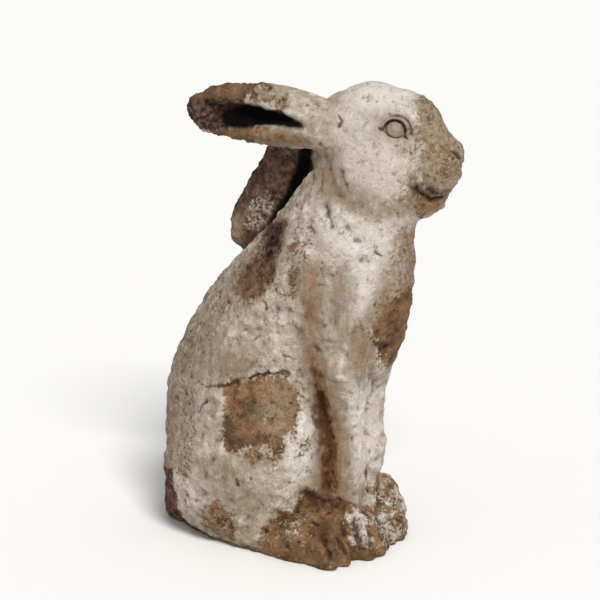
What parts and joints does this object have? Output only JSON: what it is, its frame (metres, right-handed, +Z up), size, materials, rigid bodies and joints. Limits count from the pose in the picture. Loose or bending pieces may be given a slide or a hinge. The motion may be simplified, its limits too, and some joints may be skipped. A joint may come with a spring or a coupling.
{
  "type": "garden rabbit statue",
  "caption": "Cast cement rabbit sitting upright, ears laid back, with flaking pale paint over bare brown cement.",
  "frame": {"origin": "on the flat underside, on the figure's middle plane, under the body between the haunches and the forelegs", "axes": "+X the way the rabbit's body faces, +Y towards its left side, +Z up"},
  "size_m": [0.3355, 0.1962, 0.4997],
  "materials": {
    "painted_cement": "worn off-white paint flaking from rough brown cement, matt"
  },
  "bodies": {
    "root": {"rabbit": "painted_cement"}
  },
  "joints": []
}
